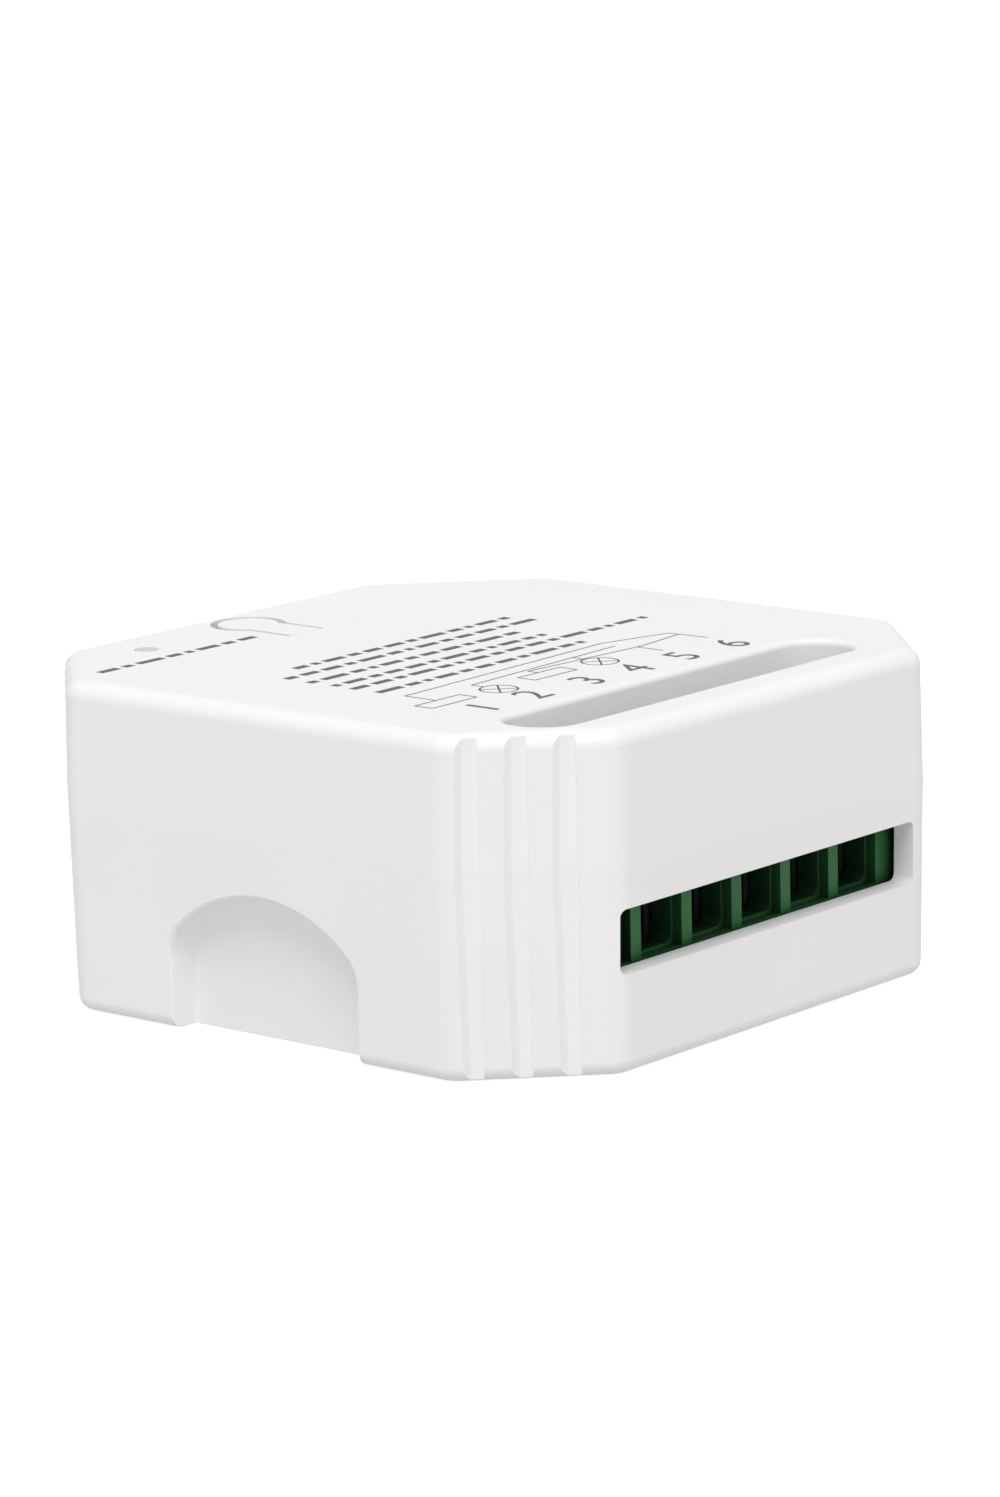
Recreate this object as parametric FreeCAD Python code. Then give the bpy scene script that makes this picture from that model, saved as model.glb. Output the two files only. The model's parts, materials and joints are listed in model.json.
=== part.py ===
"""Two-gang smart switch module for a wall box, as an assembly of separate pieces. Millimetres.

The origin is the middle of the underside and +Z is up. The wire window faces -Y and the arched
notch faces -X.
"""
import FreeCAD
import Part
import math
import os

Vector = FreeCAD.Vector

# Outer body
body_width = 46.0
body_depth = 46.0
body_height = 21.3
parting_height = 12.8
draft_angle = 1.0
corner_leg = 7.6
far_corner_leg = 9.2
edge_radius = 1.9
inner_edge_radius = 0.5
top_edge_radius = 1.1
bottom_edge_radius = 0.9
wall = 1.5
top_thickness = 1.5
floor_thickness = 1.5

# Lap joint between the two shells, with its snap ridges
lip_height = 1.2
lip_thickness = 0.6
lip_root = 1.5
lip_gap = 0.1
lip_end_margin = 1.5
ridge_length = 8.0
ridge_height = 0.5
ridge_depth = 0.25

# Upright grooves in the cut corners
groove_count = 3
groove_width = 1.55
groove_pitch = 2.93
groove_depth = 0.38
groove_slope = 0.5
groove_offset = -0.95

# Arched notch in the -X side
notch_front_inset = 14.85
notch_back_inset = 15.8
notch_top = 9.35
notch_arc_margin = 2.45
notch_corner_radius = 2.6
notch_depth = 2.3
notch_wall = 1.2
notch_crown_radius = 1.5
notch_crown_steps = 8
notch_rim_radius = 0.25
notch_rim_steps = 4

# Wire window in the -Y side
window_end_margin = 0.2
window_height = 4.05
window_bottom = 6.25
window_centre_x = -0.6
window_corner_radius = 0.5

# Screwdriver slot in the top
slot_over_length = 2.0
slot_width = 5.0
slot_rim_radius = 0.4
collar_wall = 1.0
collar_gap = 0.3

# Push pad in its keyhole slot
pad_x = -2.05
pad_side_inset = 4.05
pad_radius = 2.0
pad_slot = 0.5
tongue_width = 2.8
tongue_slot = 0.35
tongue_length = 5.15
tongue_thickness = 1.0
tongue_root_gap = 0.03
stem_radius = 1.1
stem_gap = 0.05
stem_shift = 0.35

# Status light
light_inset_x = 10.7
light_inset_y = 4.6
light_radius = 0.75
light_gap = 0.05
light_flange_radius = 1.3
light_flange_height = 0.8
light_air_gap = 0.3
led_length = 1.6
led_width = 0.8
led_height = 0.7

# Main board, its posts, screws and the sheet under it
board_thickness = 1.6
board_under_height = 1.7
board_gap = 0.35
post_radius = 2.0
post_inset_x = 8.0
post_inset_y = 6.8
post_gap = 0.25
screw_pilot_radius = 0.85
board_screw_radius = 0.8
board_screw_length = 3.2
board_screw_head_radius = 1.8
board_screw_head_height = 1.2
board_screw_clear = 0.3
cross_width = 0.5
cross_depth = 0.6
sheet_thickness = 0.2

# Terminal block
terminal_count = 6
terminal_side_margin = 0.4
terminal_centre_x = -1.6
screw_line_inset = 6.0
rib_width = 1.0
block_gap = 0.5
block_corner_gap = 0.3
block_depth = 8.3
block_height = 11.1
block_left_end = 1.0
block_right_end = 2.0
cell_depth = 0.7
cell_sill = 0.05
cell_headroom = 0.6
entry_margin = 0.2
entry_corner_radius = 0.6
cavity_front_gap = 0.1
cavity_side_gap = 0.15
cavity_back_room = 2.2
cavity_floor = 0.9

# Clamping parts of one terminal
clamp_width = 3.5
clamp_depth = 3.1
clamp_wall = 0.5
clamp_floor = 0.7
clamp_top = 1.2
clamp_height = 5.9
clamp_travel = 2.0
clamp_rest_gap = 0.1
bar_thickness = 0.8
bar_width = 2.2
bar_gap = 0.3
leg_thickness = 0.6
leg_back_gap = 0.2
pin_width = 1.0
pin_length = 1.0
pin_gap = 0.15
screw_radius = 1.2
screw_fit = 0.05
screw_head_radius = 1.85
screw_head_gap = 0.1
screw_head_height = 1.6
screw_head_round = 0.25
screw_slot_width = 0.6
screw_slot_depth = 0.8

# Relays
relay_end_gap = 3.0
relay_width = 10.2
relay_height = 12.4
relay_spacing = 0.6
relay_block_gap = 0.5
relay_wall = 0.6
relay_fit = 0.1
relay_base_height = 1.2
yoke_gap = 0.1
yoke_thickness = 0.9
yoke_width = 6.0
coil_end_gap = 0.4
coil_side = 7.2
coil_flange = 0.7
coil_height = 6.1
winding_radius = 3.3
core_radius = 1.2
core_stand = 0.2
core_fit = 0.05
armature_thickness = 0.8
armature_air_gap = 0.35
armature_seat_gap = 0.1
blade_thickness = 0.2
blade_width = 4.0
blade_end_gap = 1.0
contact_radius = 1.0
contact_height = 0.3
contact_gap = 0.45
fixed_strip_thickness = 0.5
fixed_strip_width = 4.0
fixed_strip_end_gap = 0.3

# Control board with the switch, the light and the radio
control_room = 4.8
control_thickness = 1.0
control_gap = 0.5
control_relay_gap = 1.1
header_width = 2.5
header_length = 5.1
header_side_inset = 11.6
header_wall_gap = 1.6
header_pin_count = 2
header_pin_width = 0.64
header_pin_gap = 0.05
switch_side = 4.5
switch_height = 3.1
plunger_radius = 1.2
plunger_fit = 0.08
plunger_sink = 1.0
plunger_floor = 0.6
radio_pad_gap = 3.55
radio_header_gap = 2.15
radio_front_gap = 2.8
radio_side_inset = 9.0
radio_thickness = 0.8
radio_notch_count = 8
radio_notch_pitch = 1.27
radio_notch_radius = 0.3
can_length = 11.0
can_side_gap = 1.0
can_height = 2.2
can_wall = 0.2
can_edge = 0.8

# Power supply parts on the main board
core_length = 12.0
core_depth = 5.6
core_head_gap = 1.0
core_limb = 1.6
core_header_gap = 0.2
core_screw_gap = 3.0
bobbin_depth = 11.0
bobbin_cheek = 0.7
bobbin_fit = 0.15
bobbin_tube = 0.5
big_capacitor_radius = 4.0
big_capacitor_head_gap = 0.8
big_capacitor_core_gap = 2.8
big_capacitor_relay_gap = 2.5
big_capacitor_bead = 0.3
film_head_gap = 0.9
film_notch_gap = 1.6
film_capacitor_gap = 1.3
film_relay_gap = 1.7
film_extra_width = 0.4
film_edge_radius = 0.4
varistor_thickness = 3.2
varistor_head_gap = 1.4
varistor_header_gap = 0.4
varistor_film_gap = 1.2
fuse_radius = 1.5
fuse_cap_length = 1.2
fuse_cap_step = 0.15
fuse_screw_gap = 0.3
fuse_choke_gap = 1.7
fuse_varistor_gap = 1.5
rectifier_height = 2.6
rectifier_screw_gap = 1.5
rectifier_choke_gap = 1.7
rectifier_fuse_gap = 0.6
rectifier_edge_gap = 0.1
choke_radius = 3.0
choke_head_gap = 2.2
choke_waist_radius = 1.9
choke_flange = 1.2
choke_shift = 0.8
choke_capacitor_gap = 1.8
chip_length = 4.9
chip_width = 3.9
chip_height = 1.5
chip_choke_gap = 0.3
chip_edge_gap = 0.4
lead_foot = 1.0
lead_thickness = 0.2
lead_width = 0.4
lead_end_margin = 0.35
lead_count = 4

# Heights and lines that follow from the sizes above
board_bottom = floor_thickness + board_under_height
board_top = board_bottom + board_thickness
inner_top = body_height - top_thickness
control_top = inner_top - control_room
control_height = control_top - control_thickness
window_top = window_bottom + window_height
cavity_height = clamp_height + clamp_travel + 2.0 * clamp_rest_gap
root_2 = math.sqrt(2.0)
post_x = body_width / 2.0 - post_inset_x
post_y = body_depth / 2.0 - post_inset_y
pad_y = body_depth / 2.0 - pad_side_inset
stem_y = pad_y - stem_shift
light_x = light_inset_x - body_width / 2.0
light_y = body_depth / 2.0 - light_inset_y
screw_line_y = screw_line_inset - body_depth / 2.0
side_width = body_width - 2.0 * corner_leg
notch_width = body_depth - notch_front_inset - notch_back_inset
notch_centre_y = (notch_front_inset - notch_back_inset) / 2.0
notch_arc_radius = notch_width / 2.0 + notch_arc_margin
terminal_pitch = (side_width - 2.0 * terminal_side_margin) / terminal_count
window_width = terminal_count * terminal_pitch - 2.0 * window_end_margin
slot_length = terminal_count * terminal_pitch + slot_over_length
relay_length = (body_width - relay_spacing) / 2.0 - wall - relay_end_gap
cell_width = terminal_pitch - rib_width
terminal_xs = [
    terminal_centre_x + (index - (terminal_count - 1) / 2.0) * terminal_pitch
    for index in range(terminal_count)
]
far = 100.0


def box(x0, x1, y0, y1, z0, z1):
    """Block between two corners."""
    return Part.makeBox(x1 - x0, y1 - y0, z1 - z0, Vector(x0, y0, z0))


def rod(x, y, z0, z1, radius):
    """Upright cylinder."""
    return Part.makeCylinder(radius, z1 - z0, Vector(x, y, z0))


def prism(points, z0, z1):
    """Upright prism over a plan polygon."""
    corners = [Vector(x, y, z0) for x, y in points]
    return Part.Face(Part.makePolygon(corners + corners[:1])).extrude(Vector(0, 0, z1 - z0))


def obround(x, y, length, width, z0, z1):
    """Upright round-ended bar, long along X."""
    half = (length - width) / 2.0
    middle = box(x - half, x + half, y - width / 2.0, y + width / 2.0, z0, z1)
    ends = [rod(x + sign * half, y, z0, z1, width / 2.0) for sign in (-1, 1)]
    return middle.fuse(ends).removeSplitter()


def edges_where(shape, test):
    """Edges whose end points all pass a test."""
    return [edge for edge in shape.Edges if all(test(vertex.Point) for vertex in edge.Vertexes)]


def near(value, wanted):
    """True when two lengths are the same."""
    return abs(value - wanted) < 1e-4


def rounded_box(x0, x1, y0, y1, z0, z1, axis, radius):
    """Block whose four edges along one axis are rounded."""
    shape = box(x0, x1, y0, y1, z0, z1)
    chosen = []
    for edge in shape.Edges:
        start, end = (vertex.Point for vertex in edge.Vertexes)
        if abs(getattr(end, axis) - getattr(start, axis)) > 1e-6:
            chosen.append(edge)
    return shape.makeFillet(radius, chosen)


def taper(z):
    """How far the drafted sides stand in from the parting line at a height."""
    return abs(z - parting_height) * math.tan(math.radians(draft_angle))


def outline_corners(inset):
    """Plan corners of the cut-corner square with every side moved in."""
    half_x = body_width / 2.0 - inset
    half_y = body_depth / 2.0 - inset
    cut = corner_leg - inset * (2.0 - root_2)
    far_cut = far_corner_leg - inset * (2.0 - root_2)
    return [
        (-half_x, -half_y + cut),
        (-half_x + cut, -half_y),
        (half_x - cut, -half_y),
        (half_x, -half_y + cut),
        (half_x, half_y - far_cut),
        (half_x - far_cut, half_y),
        (-half_x + cut, half_y),
        (-half_x, half_y - cut),
    ]


def outline_wire(z, inset, radius):
    """Plan outline at a height, with its upright edges rounded."""
    corners = [Vector(x, y, z) for x, y in outline_corners(inset)]
    count = len(corners)
    tangent = radius * math.tan(math.pi / 8.0)
    bulge = radius / math.cos(math.pi / 8.0) - radius
    starts = []
    ends = []
    arcs = []
    for index, corner in enumerate(corners):
        before = (corner - corners[index - 1]).normalize()
        after = (corners[(index + 1) % count] - corner).normalize()
        inward = (after - before).normalize()
        starts.append(corner - before * tangent)
        ends.append(corner + after * tangent)
        arcs.append(Part.Arc(starts[index], corner + inward * bulge, ends[index]).toShape())
    edges = []
    for index in range(count):
        edges.append(arcs[index])
        edges.append(Part.makeLine(ends[index], starts[(index + 1) % count]))
    return Part.Wire(edges)


def drafted_block(z0, z1, inset, radius):
    """Solid between two heights on one side of the parting line, inside the drafted outline."""
    wires = [outline_wire(z, inset + taper(z), radius) for z in (z0, z1)]
    return Part.makeLoft(wires, True, True)


def plate(z0, z1, inset):
    """Straight-sided plate of the body's plan shape."""
    return prism(outline_corners(inset), z0, z1)


def groove_cutters():
    """Upright channels in the four cut corners, with floors that follow the draft."""
    cutters = []
    face = (body_width + body_depth) / 2.0
    for turn in range(4):
        leg = far_corner_leg if turn == 2 else corner_leg
        distance = (face - leg) / root_2
        angle = math.radians(225.0 + 90.0 * turn)
        normal = (math.cos(angle), math.sin(angle))
        along = (-math.sin(angle), math.cos(angle))
        for index in range(groove_count):
            middle = groove_offset + (index - (groove_count - 1) / 2.0) * groove_pitch
            steep = middle + groove_width / 2.0
            soft = middle - groove_width / 2.0
            rate = groove_slope / groove_depth
            profile = [
                (distance + groove_depth, soft - groove_slope),
                (distance + groove_depth, steep),
                (distance - 2.0 * groove_depth, steep),
                (distance - 2.0 * groove_depth, soft + rate * 2.0 * groove_depth),
            ]
            points = [
                (n * normal[0] + u * along[0], n * normal[1] + u * along[1]) for n, u in profile
            ]
            cutters.append(prism(points, -1.0, body_height + 1.0))
    core = drafted_block(parting_height, body_height + 1.0, groove_depth, edge_radius)
    core = core.fuse(drafted_block(-1.0, parting_height, groove_depth, edge_radius))
    return cutters[0].fuse(cutters[1:]).cut(core)


def lip_bars(extra, z0, z1):
    """Four bars along the straight sides, where the shells lap, grown by a clearance."""
    bars = []
    for half, across, sign_x, sign_y in side_frames():
        outer = half - wall + lip_thickness + extra
        inner = half - wall - extra
        span = across - corner_leg - lip_end_margin + extra
        bars.append(side_bar(sign_x, sign_y, inner, outer, span, z0, z1))
    return bars


def side_frames():
    """Half size outwards, half size along, and direction, of each straight side."""
    half_x = body_width / 2.0
    half_y = body_depth / 2.0
    return [
        (half_x, half_y, 1, 0),
        (half_x, half_y, -1, 0),
        (half_y, half_x, 0, 1),
        (half_y, half_x, 0, -1),
    ]


def side_bar(sign_x, sign_y, inner, outer, span, z0, z1):
    """Bar along one side, between two distances from the middle."""
    if sign_x:
        low, high = sorted((sign_x * inner, sign_x * outer))
        return box(low, high, -span, span, z0, z1)
    low, high = sorted((sign_y * inner, sign_y * outer))
    return box(-span, span, low, high, z0, z1)


def snap_ridges(extra):
    """Ridge in the middle of each lap bar, grown by a clearance."""
    ridges = []
    middle = parting_height + lip_height / 2.0
    for half, _, sign_x, sign_y in side_frames():
        face = half - wall + lip_thickness
        ridges.append(side_bar(
            sign_x, sign_y, face - lip_thickness / 2.0, face + ridge_depth + extra,
            ridge_length / 2.0 + extra,
            middle - ridge_height / 2.0 - extra, middle + ridge_height / 2.0 + extra,
        ))
    return ridges


def keyhole(pad, width, root_y, z0, z1):
    """Round pad with a straight tongue towards -Y."""
    disc = rod(pad_x, pad_y, z0, z1, pad)
    tongue = box(pad_x - width / 2.0, pad_x + width / 2.0, root_y, pad_y, z0, z1)
    return disc.fuse(tongue).removeSplitter()


def make_top_cover():
    """Upper shell with its slots, collar, light hole and grooves."""
    shell = drafted_block(parting_height, body_height, 0.0, edge_radius)
    rim = edges_where(shell, lambda point: near(point.z, body_height))
    shell = shell.makeFillet(top_edge_radius, rim)
    shell = shell.cut(drafted_block(parting_height, inner_top, wall, inner_edge_radius))
    recess_top = parting_height + lip_height + lip_gap
    shell = shell.cut(lip_bars(lip_gap, parting_height - 1.0, recess_top))
    shell = shell.cut(snap_ridges(lip_gap))
    collar_bottom = board_top + block_height + collar_gap
    collar = obround(
        terminal_centre_x, screw_line_y,
        slot_length + 2.0 * collar_wall, slot_width + 2.0 * collar_wall,
        collar_bottom, inner_top + top_thickness / 2.0,
    )
    collar = collar.common(drafted_block(parting_height, body_height, wall / 2.0, edge_radius))
    shell = shell.fuse(collar)
    shell = shell.cut(obround(
        terminal_centre_x, screw_line_y, slot_length, slot_width,
        parting_height, body_height + 1.0,
    )).removeSplitter()

    def on_slot_rim(point):
        inside_x = abs(point.x - terminal_centre_x) < slot_length / 2.0 + 1e-3
        inside_y = abs(point.y - screw_line_y) < slot_width / 2.0 + 1e-3
        return near(point.z, body_height) and inside_x and inside_y

    shell = shell.makeFillet(slot_rim_radius, edges_where(shell, on_slot_rim))
    shell = shell.cut(keyhole(
        pad_radius + pad_slot, tongue_width + 2.0 * tongue_slot,
        pad_y - tongue_length, inner_top - 1.0, body_height + 1.0,
    ))
    shell = shell.cut(rod(
        light_x, light_y, inner_top - 1.0, body_height + 1.0, light_radius + light_gap,
    ))
    return shell.cut(groove_cutters())


def notch_wire(grow, x, z0, drop=0.0):
    """Arched outline with rounded shoulders at one X, grown all round, its arch lowered by drop."""
    half = notch_width / 2.0 + grow
    radius = notch_arc_radius + grow
    corner = notch_corner_radius + grow
    centre = notch_top + grow - radius - drop
    corner_out = half - corner
    corner_up = math.sqrt((radius - corner) ** 2 - corner_out ** 2)
    lean = math.atan2(corner_up, corner_out)

    def at(side, out, up):
        return Vector(x, notch_centre_y + side * out, centre + up)

    def on_corner(side, angle):
        return at(side, corner_out + corner * math.cos(angle), corner_up + corner * math.sin(angle))

    edges = [
        Part.makeLine(Vector(x, notch_centre_y + half, z0), Vector(x, notch_centre_y - half, z0)),
        Part.makeLine(Vector(x, notch_centre_y - half, z0), on_corner(-1, 0.0)),
        Part.Arc(on_corner(-1, 0.0), on_corner(-1, lean / 2.0), on_corner(-1, lean)).toShape(),
        Part.Arc(on_corner(-1, lean), at(1, 0.0, radius), on_corner(1, lean)).toShape(),
        Part.Arc(on_corner(1, lean), on_corner(1, lean / 2.0), on_corner(1, 0.0)).toShape(),
        Part.makeLine(on_corner(1, 0.0), Vector(x, notch_centre_y + half, z0)),
    ]
    return Part.Wire(edges)


def notch_solid(grow, x0, x1, z0):
    """Arched bar along X, used for the notch and for the wall round it."""
    return Part.Face(notch_wire(grow, x0, z0)).extrude(Vector(x1 - x0, 0, 0))


def notch_mouth():
    """Rounded mouth of the notch, as a stack of thin flared slices."""
    face = -body_width / 2.0 + taper(notch_top / 2.0)
    wires = []
    for step in range(notch_rim_steps + 1):
        angle = math.pi / 2.0 * step / notch_rim_steps
        depth = notch_rim_radius * (1.0 - math.cos(angle))
        grow = notch_rim_radius * (1.0 - math.sin(angle))
        wires.append(notch_wire(grow, face + depth, -1.0))
    slices = [notch_solid(notch_rim_radius, face - wall, face, -1.0)]
    for outer, inner in zip(wires, wires[1:]):
        slices.append(Part.makeLoft([outer, inner], True, True))
    return slices


def notch_crown():
    """Back of the notch, whose arch curves down to the flat back, as a stack of thin slices."""
    start = notch_floor_x() - notch_crown_radius
    wires = []
    for step in range(notch_crown_steps + 1):
        angle = math.pi / 2.0 * step / notch_crown_steps
        depth = notch_crown_radius * math.sin(angle)
        drop = notch_crown_radius * (1.0 - math.cos(angle))
        wires.append(notch_wire(0.0, start + depth, -1.0, drop))
    slices = [notch_solid(0.0, -body_width, start, -1.0)]
    for outer, inner in zip(wires, wires[1:]):
        slices.append(Part.makeLoft([outer, inner], True, True))
    return slices


def notch_floor_x():
    """Where the flat back of the notch lies."""
    return -body_width / 2.0 + notch_depth


def make_bottom_housing():
    """Lower shell with the window, the notch, the board posts and the lap lip."""
    outer = drafted_block(0.0, parting_height, 0.0, edge_radius)
    rim = edges_where(outer, lambda point: near(point.z, 0.0))
    outer = outer.makeFillet(bottom_edge_radius, rim)
    shell = outer.cut(drafted_block(floor_thickness, parting_height, wall, inner_edge_radius))
    lips = lip_bars(0.0, parting_height - lip_root, parting_height + lip_height)
    inside = drafted_block(floor_thickness, parting_height, wall / 2.0, edge_radius)
    boss = notch_solid(
        notch_wall, -body_width / 2.0, notch_floor_x() + notch_wall, floor_thickness / 2.0,
    ).common(inside)
    posts = [
        rod(x, y, floor_thickness / 2.0, board_bottom, post_radius) for x, y in post_places()
    ]
    shell = shell.fuse(lips + snap_ridges(0.0) + [boss] + posts).removeSplitter()
    shell = shell.cut(notch_crown() + notch_mouth())
    for x, y in screw_places():
        shell = shell.cut(rod(x, y, floor_thickness, board_top, screw_pilot_radius))
    shell = shell.cut(rounded_box(
        window_centre_x - window_width / 2.0, window_centre_x + window_width / 2.0,
        -body_depth, -body_depth / 2.0 + 2.0 * wall, window_bottom, window_top,
        "y", window_corner_radius,
    ))
    return shell.cut(groove_cutters())


def post_places():
    """Middles of the four board posts."""
    return [(sx * post_x, sy * post_y) for sx in (-1, 1) for sy in (-1, 1)]


def screw_places():
    """The two posts, across a diagonal, that take a screw."""
    return [(post_x, post_y), (-post_x, post_y)]


def make_push_pad():
    """Flexing tongue with its round pad and the stem under it."""
    root = pad_y - tongue_length + tongue_root_gap
    tongue = keyhole(pad_radius, tongue_width, root, body_height - tongue_thickness, body_height)
    stem_bottom = switch_top() + stem_gap
    stem = rod(pad_x, stem_y, stem_bottom, body_height - tongue_thickness / 2.0, stem_radius)
    return tongue.fuse(stem).removeSplitter()


def switch_top():
    """Top of the tactile switch's plunger at rest."""
    return inner_top - tongue_thickness / 2.0


def make_light_pipe():
    """Clear rod with a flange under the top."""
    bottom = control_top + led_height + light_air_gap
    pipe = rod(light_x, light_y, bottom, body_height, light_radius)
    flange = rod(light_x, light_y, inner_top - light_flange_height, inner_top, light_flange_radius)
    return pipe.fuse(flange).removeSplitter()


def make_status_led():
    """Small light-emitting diode under the light pipe."""
    lens = led_length / 2.0
    body = box(
        light_x - led_length / 2.0, light_x + led_length / 2.0,
        light_y - led_width / 2.0, light_y + led_width / 2.0,
        control_top, control_top + led_height / 2.0,
    )
    dome = box(
        light_x - lens / 2.0, light_x + lens / 2.0,
        light_y - led_width / 2.0, light_y + led_width / 2.0,
        control_top + led_height / 2.0, control_top + led_height,
    )
    return body.fuse(dome).removeSplitter()


def make_main_board():
    """Power board with holes for the terminal pins, headers and screws."""
    board = plate(board_bottom, board_top, wall + taper(board_bottom) + board_gap)
    reach = notch_wall + board_gap
    board = board.cut(notch_solid(reach, -body_width, notch_floor_x() + reach, -1.0))
    holes = [
        rod(x, y, 0.0, parting_height, board_screw_radius + board_screw_clear)
        for x, y in screw_places()
    ]
    for x in terminal_xs:
        holes.append(rod(x, leg_y(), 0.0, parting_height, pin_width / root_2 + pin_gap))
    for x, y in header_pins():
        holes.append(rod(x, y, 0.0, parting_height, header_pin_width / root_2 + header_pin_gap))
    return board.cut(holes)


def make_board_screws():
    """Two self-tapping screws with crossed heads."""
    screws = []
    for x, y in screw_places():
        head_top = board_top + board_screw_head_height
        shank = rod(x, y, board_top - board_screw_length, board_top, board_screw_radius)
        head = rod(x, y, board_top, head_top, board_screw_head_radius)
        head_edge = edges_where(head, lambda point: near(point.z, head_top))
        head = head.makeFillet(board_screw_head_height / 2.0, head_edge)
        arm = board_screw_head_radius * 0.6
        low = head_top - cross_depth
        cross = [
            box(x - arm, x + arm, y - cross_width / 2.0, y + cross_width / 2.0, low, head_top),
            box(x - cross_width / 2.0, x + cross_width / 2.0, y - arm, y + arm, low, head_top),
        ]
        screws.append(head.fuse(shank).cut(cross).removeSplitter())
    return Part.makeCompound(screws)


def make_insulation_sheet():
    """Thin sheet on the floor, round the posts and the notch."""
    top = floor_thickness + sheet_thickness
    sheet = plate(floor_thickness, top, wall + taper(floor_thickness) + board_gap)
    reach = notch_wall + board_gap
    sheet = sheet.cut(notch_solid(reach, -body_width, notch_floor_x() + reach, -1.0))
    holes = [rod(x, y, 0.0, board_bottom, post_radius + post_gap) for x, y in post_places()]
    return sheet.cut(holes)


def block_front():
    """Front face of the terminal block."""
    return -body_depth / 2.0 + wall + taper(window_bottom) + block_gap


def cavity_front():
    """Front of the clamp cavities."""
    return screw_line_y - clamp_depth / 2.0 - cavity_front_gap


def cavity_back():
    """Back of the clamp cavities."""
    return screw_line_y + clamp_depth / 2.0 + cavity_back_room


def cavity_bottom():
    """Floor of the clamp cavities."""
    return board_top + cavity_floor


def leg_y():
    """Middle of the contacts' upright legs and pins."""
    return cavity_back() - leg_back_gap - leg_thickness / 2.0


def clamp_bottom():
    """Underside of a clamp at rest."""
    return cavity_bottom() + clamp_rest_gap


def bar_top():
    """Upper face of the contact bars."""
    return clamp_bottom() + clamp_height - clamp_top - bar_gap


def head_bottom():
    """Underside of the screw heads."""
    return cavity_bottom() + cavity_height + screw_head_gap


def make_terminal_block_body():
    """Six-way insulating body with wire cells, clamp cavities and screw wells."""
    front = block_front()
    body = box(
        terminal_xs[0] - cell_width / 2.0 - block_left_end,
        terminal_xs[-1] + cell_width / 2.0 + block_right_end,
        front, front + block_depth, board_top, board_top + block_height,
    )
    inset = wall + taper(board_top) + block_corner_gap
    body = body.common(plate(board_top, board_top + block_height, inset))
    cell_bottom = window_bottom - cell_sill
    cell_top = window_top + cell_headroom
    cavity_half = clamp_width / 2.0 + cavity_side_gap
    for x in terminal_xs:
        cell = box(
            x - cell_width / 2.0, x + cell_width / 2.0, front - 1.0, front + cell_depth,
            cell_bottom, cell_top,
        )
        half = cell_width / 2.0 - entry_margin
        entry = rounded_box(
            x - half, x + half, front, cavity_front() + clamp_wall,
            cell_bottom + entry_margin, cell_top - entry_margin, "y", entry_corner_radius,
        )
        cavity = box(
            x - cavity_half, x + cavity_half, cavity_front(), cavity_back(),
            cavity_bottom(), cavity_bottom() + cavity_height,
        )
        well = rod(
            x, screw_line_y, cavity_bottom() + cavity_height / 2.0, far,
            screw_head_radius + screw_head_gap,
        )
        leg_hole = box(
            x - pin_width / 2.0 - pin_gap, x + pin_width / 2.0 + pin_gap,
            leg_y() - leg_thickness / 2.0 - pin_gap, leg_y() + leg_thickness / 2.0 + pin_gap,
            0.0, cavity_bottom() + clamp_wall,
        )
        body = body.cut([cell, entry, cavity, well, leg_hole])
    return body


def make_terminal_screw(x):
    """Slotted clamp screw, turning in place on the contact bar."""
    bottom = bar_top() + screw_fit
    top = head_bottom() + screw_head_height
    shank = rod(x, screw_line_y, bottom, head_bottom(), screw_radius)
    head = rod(x, screw_line_y, head_bottom(), top, screw_head_radius)
    head = head.makeFillet(screw_head_round, edges_where(head, lambda point: near(point.z, top)))
    slot = box(
        x - far, x + far, screw_line_y - screw_slot_width / 2.0,
        screw_line_y + screw_slot_width / 2.0, top - screw_slot_depth, top + 1.0,
    )
    return head.fuse(shank).cut(slot).removeSplitter()


def make_wire_clamp(x):
    """Rising cage that draws the wire up against the contact bar."""
    low = clamp_bottom()
    y0 = screw_line_y - clamp_depth / 2.0
    y1 = screw_line_y + clamp_depth / 2.0
    half = clamp_width / 2.0
    cage = box(x - half, x + half, y0, y1, low, low + clamp_height)
    mouth = box(
        x - half + clamp_wall, x + half - clamp_wall, y0 - 1.0, y1 + 1.0,
        low + clamp_floor, low + clamp_height - clamp_top,
    )
    thread = rod(x, screw_line_y, low + clamp_floor, low + far, screw_radius + screw_fit)
    return cage.cut([mouth, thread])


def make_terminal_contact(x):
    """Contact bar through the cage, with its leg and the pin through the board."""
    half = bar_width / 2.0
    top = bar_top()
    back = leg_y() + leg_thickness / 2.0
    bar = box(
        x - half, x + half, screw_line_y - clamp_depth / 2.0, back, top - bar_thickness, top,
    )
    leg = box(x - half, x + half, back - leg_thickness, back, cavity_bottom() + clamp_wall, top)
    pin = box(
        x - pin_width / 2.0, x + pin_width / 2.0, back - leg_thickness, back,
        board_bottom - pin_length, cavity_bottom() + clamp_wall,
    )
    return bar.fuse([leg, pin]).removeSplitter()


def relay_origins():
    """Lowest corner of each relay on the board."""
    front = block_front() + block_depth + relay_block_gap
    start = relay_length + relay_spacing / 2.0
    return [(-start, front, board_top), (relay_spacing / 2.0, front, board_top)]


def relay_back():
    """Back of the two relays."""
    return block_front() + block_depth + relay_block_gap + relay_width


def board_back():
    """Edge of the main board along the +Y side."""
    return body_depth / 2.0 - wall - taper(board_bottom) - board_gap


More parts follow.
